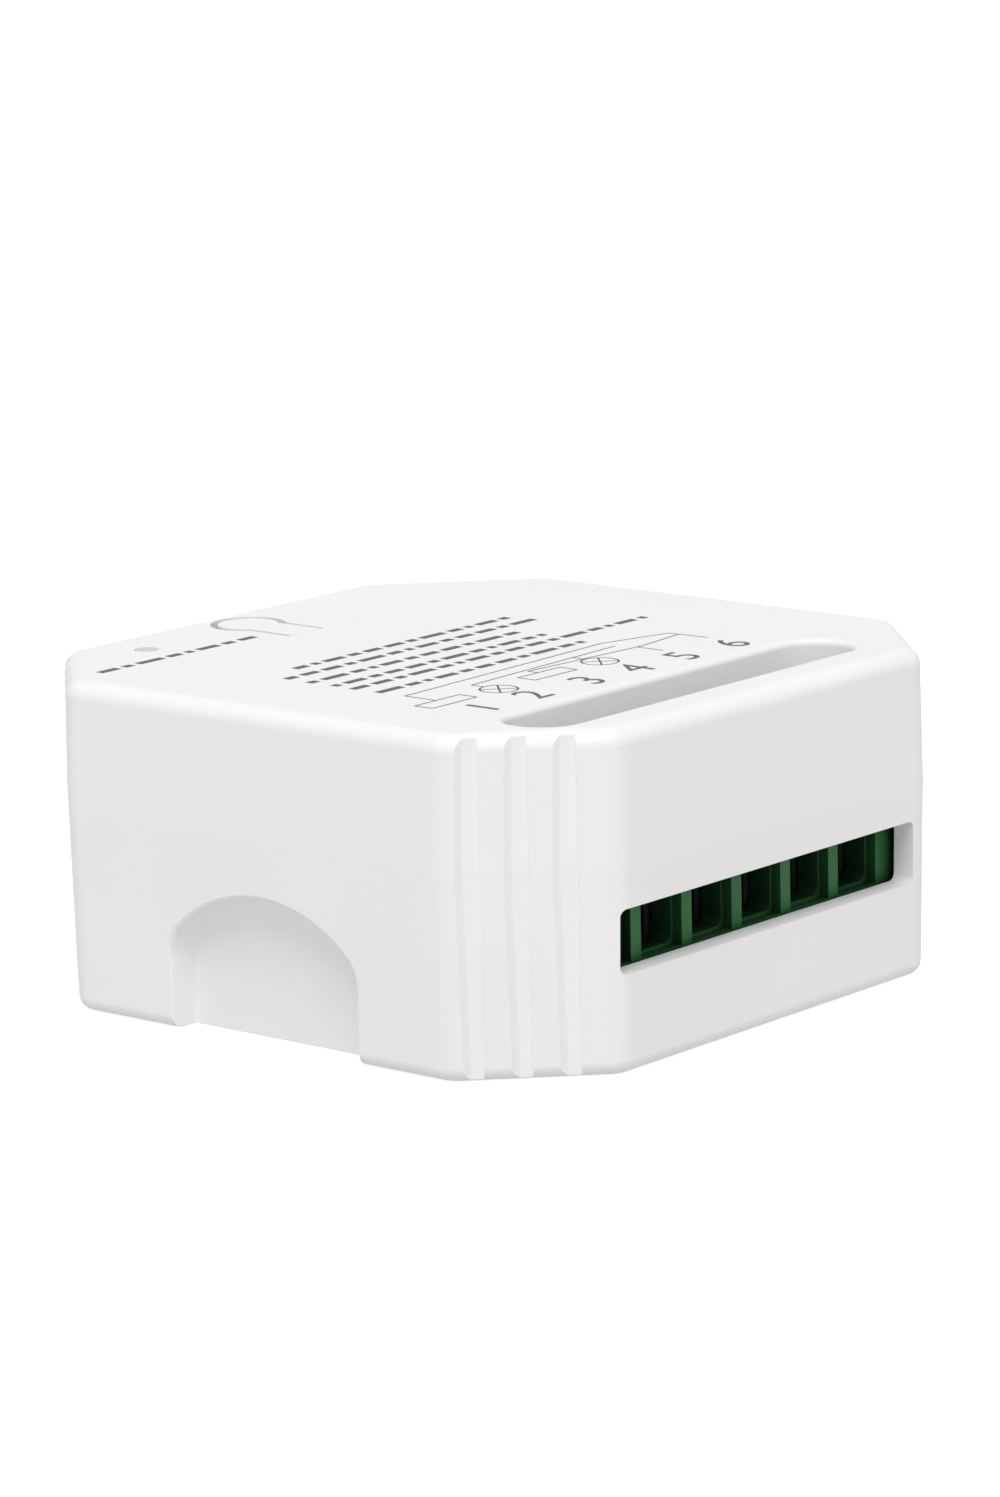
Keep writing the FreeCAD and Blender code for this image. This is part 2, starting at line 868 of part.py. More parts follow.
def make_relay(origin):
    """One relay's pieces, keyed by their short names."""
    x, y, z = origin
    middle = y + relay_width / 2.0
    cover = box(x, x + relay_length, y, y + relay_width, z, z + relay_height)
    cover = cover.makeFillet(relay_wall, edges_where(cover, lambda point: point.z > z + 1.0))
    hollow = box(
        x + relay_wall, x + relay_length - relay_wall, y + relay_wall,
        y + relay_width - relay_wall, z - 1.0, z + relay_height - relay_wall,
    )
    base_inset = relay_wall + relay_fit
    base = box(
        x + base_inset, x + relay_length - base_inset, y + base_inset,
        y + relay_width - base_inset, z, z + relay_base_height,
    )
    coil_x0 = x + base_inset + coil_end_gap
    coil_x1 = coil_x0 + coil_side
    core_x = (coil_x0 + coil_x1) / 2.0
    coil_z0 = z + relay_base_height + yoke_gap + yoke_thickness
    coil_z1 = coil_z0 + coil_height
    core_top = coil_z1 + core_stand
    armature_z0 = core_top + armature_air_gap
    armature_z1 = armature_z0 + armature_thickness
    arm_x0 = coil_x1 + coil_end_gap
    arm_x1 = arm_x0 + yoke_thickness
    yoke_half = yoke_width / 2.0
    yoke_bottom = coil_z0 - yoke_thickness
    yoke = box(coil_x0, arm_x1, middle - yoke_half, middle + yoke_half, yoke_bottom, coil_z0)
    arm = box(
        arm_x0, arm_x1, middle - yoke_half, middle + yoke_half,
        yoke_bottom, armature_z0 - armature_seat_gap,
    )
    core = rod(core_x, middle, coil_z0 - yoke_thickness / 2.0, core_top, core_radius)
    coil_half = coil_side / 2.0
    flanges = [
        box(coil_x0, coil_x1, middle - coil_half, middle + coil_half, low, low + coil_flange)
        for low in (coil_z0, coil_z1 - coil_flange)
    ]
    tube_radius = core_radius + core_fit + coil_flange / 2.0
    tube = rod(core_x, middle, coil_z0, coil_z1, tube_radius)
    bore = rod(core_x, middle, coil_z0 - 1.0, coil_z1 + 1.0, core_radius + core_fit)
    wound = rod(core_x, middle, coil_z0 + coil_flange, coil_z1 - coil_flange, winding_radius)
    armature = box(
        coil_x0, arm_x1, middle - yoke_half, middle + yoke_half, armature_z0, armature_z1,
    )
    strip_x1 = x + relay_length - relay_wall - fixed_strip_end_gap
    strip_x0 = strip_x1 - fixed_strip_thickness
    blade_end = strip_x0 - blade_end_gap
    blade = box(
        core_x, blade_end, middle - blade_width / 2.0, middle + blade_width / 2.0,
        armature_z1, armature_z1 + blade_thickness,
    )
    contact_x = blade_end - contact_radius
    rivet_top = armature_z1 + blade_thickness + contact_height
    rivet = rod(contact_x, middle, armature_z1, rivet_top, contact_radius)
    strip_half = fixed_strip_width / 2.0
    strip_z0 = rivet_top + contact_gap + contact_height
    strip_z1 = strip_z0 + fixed_strip_thickness
    upright = box(
        strip_x0, strip_x1, middle - strip_half, middle + strip_half,
        z + relay_base_height, strip_z1,
    )
    shelf = box(
        contact_x - contact_radius, strip_x1, middle - strip_half, middle + strip_half,
        strip_z0, strip_z1,
    )
    button = rod(contact_x, middle, strip_z0 - contact_height, strip_z0, contact_radius)
    return {
        "cover": cover.cut(hollow),
        "base": base,
        "yoke": yoke.fuse([arm, core]).removeSplitter(),
        "coil_bobbin": flanges[0].fuse([flanges[1], tube]).cut(bore).removeSplitter(),
        "coil_winding": wound.cut(rod(core_x, middle, z, z + relay_height, tube_radius)),
        "armature": armature,
        "contact_spring": blade.fuse(rivet).removeSplitter(),
        "fixed_contact": upright.fuse([shelf, button]).removeSplitter(),
    }


def make_control_board():
    """Upper board, on its two headers."""
    inset = wall + taper(control_height) + control_gap
    board = plate(control_height, control_top, inset)
    board = board.cut(box(-far, far, -far, control_front(), 0.0, far))
    holes = [
        rod(x, y, 0.0, far, header_pin_width / root_2 + header_pin_gap)
        for x, y in header_pins()
    ]
    return board.cut(holes)


def control_front():
    """Edge of the upper board along the relays."""
    return relay_back() + control_relay_gap


def header_inside():
    """How far the headers' inner faces stand from the middle."""
    return body_width / 2.0 - wall - header_wall_gap - header_width


def header_xs():
    """Middles of the two headers."""
    place = header_inside() + header_width / 2.0
    return [-place, place]


def header_y():
    """Middle of both headers along Y."""
    return body_depth / 2.0 - header_side_inset


def header_pins():
    """Middles of the header pins."""
    pitch = header_length / header_pin_count
    middle = (header_pin_count - 1) / 2.0
    return [
        (x, header_y() + (index - middle) * pitch)
        for x in header_xs() for index in range(header_pin_count)
    ]


def make_board_headers():
    """Two tall pin headers between the boards."""
    headers = []
    for x in header_xs():
        spacer = box(
            x - header_width / 2.0, x + header_width / 2.0,
            header_y() - header_length / 2.0, header_y() + header_length / 2.0,
            board_top, control_height,
        )
        pins = [
            box(
                px - header_pin_width / 2.0, px + header_pin_width / 2.0,
                py - header_pin_width / 2.0, py + header_pin_width / 2.0,
                board_bottom - pin_length / 2.0, control_top + pin_length / 2.0,
            )
            for px, py in header_pins() if near(px, x)
        ]
        headers.append(spacer.fuse(pins).removeSplitter())
    return Part.makeCompound(headers)


def plunger_bottom():
    """Underside of the switch plunger at rest."""
    return control_top + plunger_floor + plunger_sink


def make_switch_body():
    """Square switch body with a bore for the plunger."""
    half = switch_side / 2.0
    body = box(
        pad_x - half, pad_x + half, stem_y - half, stem_y + half,
        control_top, control_top + switch_height,
    )
    bore = rod(pad_x, stem_y, control_top + plunger_floor, far, plunger_radius + plunger_fit)
    return body.cut(bore)


def make_switch_plunger():
    """Round plunger of the tactile switch."""
    return rod(pad_x, stem_y, plunger_bottom(), switch_top(), plunger_radius)


def radio_edges():
    """Low and high edges of the radio module's board, along X and then along Y."""
    return (
        pad_x + radio_pad_gap,
        header_inside() + header_width / 2.0 - radio_header_gap,
        control_front() + radio_front_gap,
        body_depth / 2.0 - radio_side_inset,
    )


def make_radio_board():
    """Radio module's own board, with half-round pads along two edges."""
    x0, x1, y0, y1 = radio_edges()
    board = box(x0, x1, y0, y1, control_top, control_top + radio_thickness)
    notches = []
    for index in range(radio_notch_count):
        shift = (index - (radio_notch_count - 1) / 2.0) * radio_notch_pitch
        for y in (y0, y1):
            x = (x0 + x1) / 2.0 + shift
            notches.append(rod(x, y, control_height, far, radio_notch_radius))
    return board.cut(notches)


def make_radio_can():
    """Pressed shield over the radio chip."""
    edges = radio_edges()
    z0 = control_top + radio_thickness
    x0 = edges[0] + can_edge
    y0 = edges[2] + can_side_gap
    y1 = edges[3] - can_side_gap
    can = box(x0, x0 + can_length, y0, y1, z0, z0 + can_height)
    can = can.makeFillet(can_wall, edges_where(can, lambda point: point.z > z0 + can_wall))
    return can.cut(box(
        x0 + can_wall, x0 + can_length - can_wall, y0 + can_wall, y1 - can_wall,
        z0, z0 + can_height - can_wall,
    ))


def under_control(gap):
    """Height of a part on the main board that stops short of the upper board."""
    return control_height - board_top - gap


def core_place():
    """Middle of the transformer core."""
    return (
        header_inside() - core_header_gap - core_length / 2.0,
        post_y - board_screw_head_radius - core_screw_gap - core_depth / 2.0,
    )


def big_capacitor_place():
    """Middle of the smoothing capacitor."""
    return (
        core_place()[0] - core_length / 2.0 - big_capacitor_core_gap - big_capacitor_radius,
        relay_back() + big_capacitor_relay_gap + big_capacitor_radius,
    )


def choke_place():
    """Middle of the choke."""
    x, y = big_capacitor_place()
    return x + choke_shift, y + big_capacitor_radius + choke_capacitor_gap + choke_radius


def varistor_radius():
    """Radius of the varistor's disc."""
    return (under_control(varistor_head_gap) - lead_foot) / 2.0


def left_row():
    """Widths along Y of the film capacitor and the rectifier, which share what the row leaves."""
    taken = film_relay_gap + varistor_film_gap + varistor_thickness + fuse_varistor_gap
    taken += 2.0 * fuse_radius + rectifier_fuse_gap + 2.0 * lead_foot + rectifier_edge_gap
    spare = board_back() - relay_back() - taken
    return (spare + film_extra_width) / 2.0, (spare - film_extra_width) / 2.0


def film_edges():
    """Low and high edges of the film capacitor, along X and then along Y."""
    y0 = relay_back() + film_relay_gap
    return (
        notch_floor_x() + notch_wall + film_notch_gap,
        big_capacitor_place()[0] - big_capacitor_radius - film_capacitor_gap,
        y0,
        y0 + left_row()[0],
    )


def varistor_front():
    """Front face of the varistor."""
    return film_edges()[3] + varistor_film_gap


def fuse_y():
    """Axis of the fuse."""
    return varistor_front() + varistor_thickness + fuse_varistor_gap + fuse_radius


def make_transformer():
    """Core frame, bobbin and winding of the supply transformer."""
    middle, middle_y = core_place()
    x0 = middle - core_length / 2.0
    x1 = middle + core_length / 2.0
    y0 = middle_y - core_depth / 2.0
    y1 = middle_y + core_depth / 2.0
    z0 = board_top
    z1 = board_top + under_control(core_head_gap)
    window_x = core_limb + (core_length - 4.0 * core_limb) / 2.0
    core = box(x0, x1, y0, y1, z0, z1)
    for low in (x0 + core_limb, x1 - window_x):
        core = core.cut(box(
            low, low + window_x - core_limb, y0 - 1.0, y1 + 1.0, z0 + core_limb, z1 - core_limb,
        ))
    limb = core_limb
    tube_x = limb + bobbin_fit + bobbin_tube
    tube_y = core_depth / 2.0 + bobbin_fit + bobbin_tube
    low = z0 + core_limb + bobbin_fit
    high = z1 - core_limb - bobbin_fit
    cheek_x = core_length / 2.0 - core_limb - bobbin_fit
    cheek_y = bobbin_depth / 2.0
    tube = box(
        middle - tube_x, middle + tube_x, middle_y - tube_y, middle_y + tube_y,
        low, high,
    )
    cheeks = [
        box(
            middle - cheek_x, middle + cheek_x, middle_y - cheek_y, middle_y + cheek_y,
            start, start + bobbin_cheek,
        )
        for start in (low, high - bobbin_cheek)
    ]
    bore = box(
        middle - limb - bobbin_fit, middle + limb + bobbin_fit,
        y0 - bobbin_fit, y1 + bobbin_fit, z0, z1,
    )
    bobbin = tube.fuse(cheeks).cut(bore).removeSplitter()
    wound = rounded_box(
        middle - cheek_x + bobbin_fit, middle + cheek_x - bobbin_fit,
        middle_y - cheek_y + bobbin_cheek, middle_y + cheek_y - bobbin_cheek,
        low + bobbin_cheek, high - bobbin_cheek, "z", bobbin_cheek,
    )
    winding = wound.cut(box(
        middle - tube_x, middle + tube_x, middle_y - tube_y, middle_y + tube_y, z0, z1,
    ))
    return {"core": core, "bobbin": bobbin, "winding": winding}


def make_smoothing_capacitor():
    """Upright can capacitor with its bead."""
    x, y = big_capacitor_place()
    top = board_top + under_control(big_capacitor_head_gap)
    can = rod(x, y, board_top, top, big_capacitor_radius)
    ends = edges_where(can, lambda point: near(point.z, top))
    can = can.makeFillet(big_capacitor_bead, ends)
    ring = Part.makeTorus(
        big_capacitor_radius + big_capacitor_bead / 2.0, big_capacitor_bead,
        Vector(x, y, board_top + 3.0 * big_capacitor_bead),
    )
    return can.cut(ring)


def make_interference_capacitor():
    """Boxed film capacitor."""
    x0, x1, y0, y1 = film_edges()
    shape = box(x0, x1, y0, y1, board_top, board_top + under_control(film_head_gap))
    return shape.makeFillet(film_edge_radius, edges_where(shape, lambda point: point.z > board_top))


def make_varistor():
    """Disc on edge, with two leads down to the board."""
    radius = varistor_radius()
    x = varistor_header_gap + radius - header_inside()
    y0 = varistor_front()
    height = board_top + lead_foot + radius
    disc = Part.makeCylinder(
        radius, varistor_thickness, Vector(x, y0, height), Vector(0, 1, 0),
    )
    disc = disc.makeFillet(varistor_thickness / 4.0, disc.Edges[:1] + disc.Edges[2:])
    leads = [
        rod(x + sign * radius / 2.0, y0 + varistor_thickness / 2.0, board_top, height, lead_width)
        for sign in (-1, 1)
    ]
    return disc.fuse(leads).removeSplitter()


def make_fuse():
    """Small cartridge fuse lying on the board, with stepped end caps."""
    height = board_top + fuse_radius
    x0 = board_screw_head_radius + fuse_screw_gap - post_x
    x1 = choke_place()[0] - choke_radius - fuse_choke_gap
    along = Vector(1, 0, 0)
    tube = Part.makeCylinder(
        fuse_radius - fuse_cap_step, x1 - x0, Vector(x0, fuse_y(), height), along,
    )
    caps = [
        Part.makeCylinder(fuse_radius, fuse_cap_length, Vector(start, fuse_y(), height), along)
        for start in (x0, x1 - fuse_cap_length)
    ]
    return tube.fuse(caps).removeSplitter()


def leaded_package(x, y, length, width, height):
    """Flat moulded package with feet along its two long sides."""
    body = box(
        x - length / 2.0, x + length / 2.0, y - width / 2.0, y + width / 2.0,
        board_top + lead_thickness, board_top + height,
    )
    pitch = (length - 2.0 * lead_end_margin - lead_width) / (lead_count - 1)
    feet = []
    for index in range(lead_count):
        foot_x = x + (index - (lead_count - 1) / 2.0) * pitch
        feet.append(box(
            foot_x - lead_width / 2.0, foot_x + lead_width / 2.0,
            y - width / 2.0 - lead_foot, y + width / 2.0 + lead_foot,
            board_top, board_top + lead_thickness,
        ))
    return body.fuse(feet).removeSplitter()


def make_rectifier():
    """Bridge rectifier between a board screw, the fuse and the choke."""
    x0 = board_screw_head_radius + rectifier_screw_gap - post_x
    x1 = choke_place()[0] - choke_radius - rectifier_choke_gap
    width = left_row()[1]
    y = board_back() - rectifier_edge_gap - lead_foot - width / 2.0
    return leaded_package((x0 + x1) / 2.0, y, x1 - x0, width, rectifier_height)


def make_regulator_chip():
    """Regulator chip behind the choke."""
    x = choke_place()[0] + choke_radius + chip_choke_gap + chip_length / 2.0
    y = board_back() - chip_edge_gap - lead_foot - chip_width / 2.0
    return leaded_package(x, y, chip_length, chip_width, chip_height)


def make_choke():
    """Drum-shaped choke."""
    x, y = choke_place()
    top = board_top + under_control(choke_head_gap)
    drum = rod(x, y, board_top, top, choke_radius)
    low = board_top + choke_flange
    high = top - choke_flange
    band = rod(x, y, low, high, choke_radius + 1.0)
    return drum.cut(band.cut(rod(x, y, low, high, choke_waist_radius)))


def make_parts():
    """Every piece, keyed by its node name."""
    parts = {
        "top_cover": make_top_cover(),
        "bottom_housing": make_bottom_housing(),
        "push_pad": make_push_pad(),
        "light_pipe": make_light_pipe(),
        "status_led": make_status_led(),
        "main_board": make_main_board(),
        "board_screws": make_board_screws(),
        "insulation_sheet": make_insulation_sheet(),
        "terminal_block_body": make_terminal_block_body(),
        "control_board": make_control_board(),
        "board_headers": make_board_headers(),
        "switch_body": make_switch_body(),
        "switch_plunger": make_switch_plunger(),
        "radio_board": make_radio_board(),
        "radio_shield_can": make_radio_can(),
        "smoothing_capacitor": make_smoothing_capacitor(),
        "interference_capacitor": make_interference_capacitor(),
        "varistor": make_varistor(),
        "fuse": make_fuse(),
        "bridge_rectifier": make_rectifier(),
        "regulator_chip": make_regulator_chip(),
        "choke": make_choke(),
    }
    for index, x in enumerate(terminal_xs, start=1):
        parts[f"terminal_screw_{index}"] = make_terminal_screw(x)
        parts[f"wire_clamp_{index}"] = make_wire_clamp(x)
        parts[f"terminal_contact_{index}"] = make_terminal_contact(x)
    for index, origin in enumerate(relay_origins(), start=1):
        for piece, shape in make_relay(origin).items():
            parts[f"relay_{index}_{piece}"] = shape
    for piece, shape in make_transformer().items():
        parts[f"transformer_{piece}"] = shape
    return parts


def main():
    """Writes one file for each piece."""
    os.makedirs("parts", exist_ok=True)
    for name, shape in make_parts().items():
        shape.exportStep(os.path.join("parts", name + ".step"))
        print(name, len(shape.Solids), round(shape.Volume, 2), shape.isValid())


main()
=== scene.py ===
"""Looks of the two-gang smart switch module: materials, plain printed marks, floor, light, camera.

Every length is in metres unless a name, a heading or a docstring says millimetres. The frame is
the model's own: the origin is the middle of the underside and +Z is up.
"""
import bpy
import bmesh
import json
import math
from mathutils import Matrix, Vector


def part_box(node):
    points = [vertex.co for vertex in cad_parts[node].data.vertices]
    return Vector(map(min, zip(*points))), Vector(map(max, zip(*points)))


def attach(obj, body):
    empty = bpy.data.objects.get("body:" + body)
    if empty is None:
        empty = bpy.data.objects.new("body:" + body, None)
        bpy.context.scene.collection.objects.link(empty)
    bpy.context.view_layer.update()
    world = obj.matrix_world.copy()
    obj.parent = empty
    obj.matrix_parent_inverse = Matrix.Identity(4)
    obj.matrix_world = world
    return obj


MM = 0.001

# Camera, placed by the photograph's own perspective, with its angles in degrees
CAMERA_PLACE_MM = (-267.591, -226.316, 88.115)
CAMERA_AZIMUTH = -49.8666
CAMERA_ELEVATION = 11.8192
CAMERA_ROLL = -1.3087
FOCAL_PIXELS = 5588.0
LONG_SIDE_PIXELS = 1497.0
SENSOR_MM = 36.0
CLIP_NEAR = 0.01
CLIP_FAR = 100.0

# Printed marks on the top, in millimetres
INK_ABOVE = 0.008
INK_BELOW = 0.02
LINE_WIDTH = 0.13
LAMP_RADIUS = 1.2
BOX_HALF_HEIGHT = 0.7
DIGIT_HEIGHT = 2.6
DIGIT_X = (-14.7, -10.0, -4.6, 0.1, 4.9, 10.0)
DIGIT_Y = -11.95
DASH_HEIGHT = 0.62
DASH_GAP = 0.5
DASH_LENGTHS = (1.7, 0.8, 2.3, 1.2, 0.6, 1.9, 1.0, 1.5)
SHORTEST_DASH = 0.3
DASHES_SKIPPED_PER_ROW = 3

# How finely the marks are drawn, and the share of a font's size that its digits take
RING_STEPS = 28
CURVE_STEPS = 4
DIGIT_SHARE = 0.7
MERGE_DISTANCE = 1e-7

# Painted shade and painted light in recesses: reach of the test in millimetres, then openness where
# the painted tone is full and where it starts
PAINTED_LIGHT_RECESS = (14.0, 0.35, 0.85)
PAINTED_SHADE_RECESS = (6.0, 0.1, 0.6)
RECESS_SAMPLES = 8

# Scale at which a wave texture repeats once in a metre
WAVE_SCALE = 0.314

# Refraction of clear and moulded plastic, and how dark and light a metal's tarnish goes
PLASTIC_IOR = 1.49
TARNISH_TONES = (0.88, 1.04)

# Sockets of the mix node, whose names repeat for each kind of value
MIX_FACTOR = 0
MIX_NUMBERS = (2, 3)
MIX_COLOURS = (6, 7)
MIXED_NUMBER = 0
MIXED_COLOUR = 2

# Surroundings: strength above and below the horizon, and the share left straight below
SKY = 0.66
GROUND = 0.85
UNDERSIDE = 0.62

# Height of a direction, from -1 straight below to 1 straight above, where those strengths change
HORIZON_BAND = (-0.3, 0.3)
UNDERSIDE_BAND = (-0.95, -0.45)

# Light above the near corner, with its spread in degrees
KEY_POWER = 1.53
KEY_FROM = (-0.375, -0.295, 0.879)
KEY_SPREAD = 40.0

# Floor
FLOOR_HALF = 12.0
FLOOR_GLOW = 0.6

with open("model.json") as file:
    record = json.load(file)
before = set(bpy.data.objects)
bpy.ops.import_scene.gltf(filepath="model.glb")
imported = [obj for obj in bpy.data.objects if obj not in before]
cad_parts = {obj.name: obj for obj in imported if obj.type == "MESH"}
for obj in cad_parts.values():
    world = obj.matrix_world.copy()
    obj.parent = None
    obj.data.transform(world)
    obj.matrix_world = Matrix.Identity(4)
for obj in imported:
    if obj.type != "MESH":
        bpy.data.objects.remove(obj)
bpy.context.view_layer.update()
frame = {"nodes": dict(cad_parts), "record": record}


# Helpers for node materials


def new_material(name):
    """New node material, with its tree and its principled shader."""
    material = bpy.data.materials.new(name)
    material.use_nodes = True
    tree = material.node_tree
    shader = tree.nodes["Principled BSDF"]
    return material, tree, shader


def add_node(tree, kind, **values):
    """New node; values whose names are input names set those inputs, the others set options."""
    node = tree.nodes.new(kind)
    for key, value in values.items():
        plain = key.replace("_", " ")
        if plain in node.inputs:
            node.inputs[plain].default_value = value
        else:
            setattr(node, key, value)
    return node


def place_vector(tree, stretch=(1.0, 1.0, 1.0)):
    """Object coordinates in metres, stretched along the axes for brushed or drawn surfaces."""
    place = add_node(tree, "ShaderNodeTexCoord")
    mapping = add_node(tree, "ShaderNodeMapping")
    mapping.inputs["Scale"].default_value = stretch
    tree.links.new(place.outputs["Object"], mapping.inputs["Vector"])
    return mapping.outputs["Vector"]


def noise(tree, vector, grain_mm, detail=3.0, roughness=0.55):
    """Noise whose features are about grain_mm wide."""
    node = add_node(tree, "ShaderNodeTexNoise", Scale=1.0 / (grain_mm * MM), Detail=detail,
                    Roughness=roughness)
    tree.links.new(vector, node.inputs["Vector"])
    return node.outputs["Fac"]


def bands(tree, vector, direction, pitch_mm, distortion=0.0):
    """Soft bands that repeat at a pitch along one axis."""
    node = add_node(tree, "ShaderNodeTexWave", Scale=WAVE_SCALE / (pitch_mm * MM),
                    Distortion=distortion)
    node.wave_type = "BANDS"
    node.bands_direction = direction
    node.wave_profile = "SIN"
    tree.links.new(vector, node.inputs["Vector"])
    return node.outputs["Fac"]


def spread(tree, value, low, high, start=0.3, end=0.7):
    """Goes from low to high as a value goes from start to end."""
    node = add_node(tree, "ShaderNodeMapRange")
    node.inputs["From Min"].default_value = start
    node.inputs["From Max"].default_value = end
    node.inputs["To Min"].default_value = low
    node.inputs["To Max"].default_value = high
    tree.links.new(value, node.inputs["Value"])
    return node.outputs["Result"]


def two_tone(tree, value, first, second, start=0.35, end=0.65):
    """Colour that goes from first to second as value goes from start to end."""
    node = add_node(tree, "ShaderNodeValToRGB")
    node.color_ramp.elements[0].position = start
    node.color_ramp.elements[0].color = (*first, 1.0)
    node.color_ramp.elements[1].position = end
    node.color_ramp.elements[1].color = (*second, 1.0)
    tree.links.new(value, node.inputs["Fac"])
    return node.outputs["Color"]


def bump(tree, value, depth_mm, strength=0.6, under=None):
    """Bump of a given depth, over another one where under is given."""
    node = add_node(tree, "ShaderNodeBump", Strength=strength, Distance=depth_mm * MM)
    tree.links.new(value, node.inputs["Height"])
    if under is not None:
        tree.links.new(under, node.inputs["Normal"])
    return node.outputs["Normal"]


def paint_recess_light_and_shade(tree, colours, recess_painted_tone):
    """Painted shade and painted light: colour that goes to a set tone of itself where a recess closes
    round the surface.

    A tone below 1 is painted shade in the recess. A tone above 1 is painted light, standing for light
    caught between the walls of a pale piece. There only the piece's own walls count, and from further
    off.
    """
    # A tone above 1 paints light into recesses, a tone below 1 paints shade into them
    pale = recess_painted_tone > 1.0
    reach_mm, closed, wide_open = PAINTED_LIGHT_RECESS if pale else PAINTED_SHADE_RECESS
    open_sky = add_node(tree, "ShaderNodeAmbientOcclusion", Distance=reach_mm * MM)
    open_sky.samples = RECESS_SAMPLES
    open_sky.only_local = pale
    factor = spread(tree, open_sky.outputs["AO"], recess_painted_tone, 1.0, closed, wide_open)
    mix = add_node(tree, "ShaderNodeMix")
    mix.data_type = "RGBA"
    mix.blend_type = "MULTIPLY"
    mix.inputs[MIX_FACTOR].default_value = 1.0
    for socket, link in zip(MIX_COLOURS, (colours, factor)):
        tree.links.new(link, mix.inputs[socket])
    return mix.outputs[MIXED_COLOUR]


def shade(colour, factor):
    """A colour made darker or lighter."""
    return tuple(min(1.0, channel * factor) for channel in colour)


# Finishes


def moulded(name, colour, roughness, grain_mm=0.16, depth_mm=0.02, tone=0.03, strength=0.5,
            recess_painted_tone=None, gloss=0.5):
    """Moulded plastic: fine spark-eroded grain, slow flow marks and uneven gloss.

    Where it is given, the painted recess tone sets painted shade (below 1) and painted light (above
    1) in deep recesses.
    """
    material, tree, shader = new_material(name)
    vector = place_vector(tree)
    broad = noise(tree, vector, 14.0, detail=2.0)
    fine = noise(tree, vector, grain_mm, detail=4.0, roughness=0.6)
    patchy = noise(tree, vector, 2.5)
    colours = two_tone(tree, broad, shade(colour, 1.0 - tone), shade(colour, 1.0 + tone / 2.0))
    # Painted shade and painted light in recesses, where a tone for them is given
    if recess_painted_tone is not None:
        colours = paint_recess_light_and_shade(tree, colours, recess_painted_tone)
    tree.links.new(colours, shader.inputs["Base Color"])
    tree.links.new(spread(tree, patchy, roughness - 0.05, roughness + 0.05),
                   shader.inputs["Roughness"])
    waves = bump(tree, broad, 0.05, strength=0.12)
    grain = bump(tree, fine, depth_mm, strength, under=waves)
    tree.links.new(grain, shader.inputs["Normal"])
    shader.inputs["IOR"].default_value = PLASTIC_IOR
    shader.inputs["Specular IOR Level"].default_value = gloss
    return material


def metal(name, colour, roughness, stretch, grain_mm=0.12, recess_painted_tone=None):
    """Plated or rolled metal with fine drawn lines and a slight tarnish.

    Where it is given, the painted recess tone sets painted shade (below 1) and painted light (above
    1) in deep recesses.
    """
    material, tree, shader = new_material(name)
    vector = place_vector(tree, stretch)
    lines = noise(tree, vector, grain_mm, detail=4.0, roughness=0.65)
    cloud = noise(tree, place_vector(tree), 1.8)
    colours = two_tone(tree, cloud, *(shade(colour, tone) for tone in TARNISH_TONES))
    # Painted shade and painted light in recesses, where a tone for them is given
    if recess_painted_tone is not None:
        colours = paint_recess_light_and_shade(tree, colours, recess_painted_tone)
    tree.links.new(colours, shader.inputs["Base Color"])
    tree.links.new(spread(tree, lines, roughness - 0.08, roughness + 0.1),
                   shader.inputs["Roughness"])
    tree.links.new(bump(tree, lines, 0.008, strength=0.4), shader.inputs["Normal"])
    shader.inputs["Metallic"].default_value = 1.0
    return material


def circuit_board():
    """Solder mask over copper tracks, with the glass weave just showing."""
    material, tree, shader = new_material("circuit_board_finish")
    vector = place_vector(tree)
    tracks = [bands(tree, vector, direction, pitch_mm=1.3) for direction in ("X", "Y")]
    cells = add_node(tree, "ShaderNodeTexVoronoi", Scale=1.0 / (5.0 * MM))
    cells.distance = "CHEBYCHEV"
    tree.links.new(vector, cells.inputs["Vector"])
    choose = add_node(tree, "ShaderNodeMix")
    choose.data_type = "FLOAT"
    pick = spread(tree, cells.outputs["Color"], 0.0, 1.0, start=0.49, end=0.51)
    tree.links.new(pick, choose.inputs[MIX_FACTOR])
    for socket, track in zip(MIX_NUMBERS, tracks):
        tree.links.new(track, choose.inputs[socket])
    track = choose.outputs[MIXED_NUMBER]
    colours = two_tone(tree, track, (0.008, 0.09, 0.03), (0.02, 0.19, 0.06), start=0.72, end=0.8)
    tree.links.new(colours, shader.inputs["Base Color"])
    weave = noise(tree, place_vector(tree, stretch=(1.0, 3.0, 1.0)), 0.4)
    raised = spread(tree, track, 0.0, 1.0, start=0.7, end=0.82)
    relief = bump(tree, raised, 0.03, strength=0.7)
    woven = bump(tree, weave, 0.01, strength=0.3, under=relief)
    tree.links.new(woven, shader.inputs["Normal"])
    tree.links.new(spread(tree, weave, 0.24, 0.36), shader.inputs["Roughness"])
    return material


def wound_copper():
    """Turns of fine enamelled wire, side by side along Z."""
    material, tree, shader = new_material("enamelled_copper_finish")
    vector = place_vector(tree)
    turns = bands(tree, vector, "Z", pitch_mm=0.18, distortion=0.15)
    colours = two_tone(tree, turns, (0.16, 0.035, 0.012), (0.58, 0.19, 0.06), start=0.1, end=0.8)
    tree.links.new(colours, shader.inputs["Base Color"])
    uneven = noise(tree, vector, 0.9)
    tree.links.new(spread(tree, uneven, 0.2, 0.34), shader.inputs["Roughness"])
    tree.links.new(bump(tree, turns, 0.06, strength=0.9), shader.inputs["Normal"])
    shader.inputs["Metallic"].default_value = 0.75
    return material


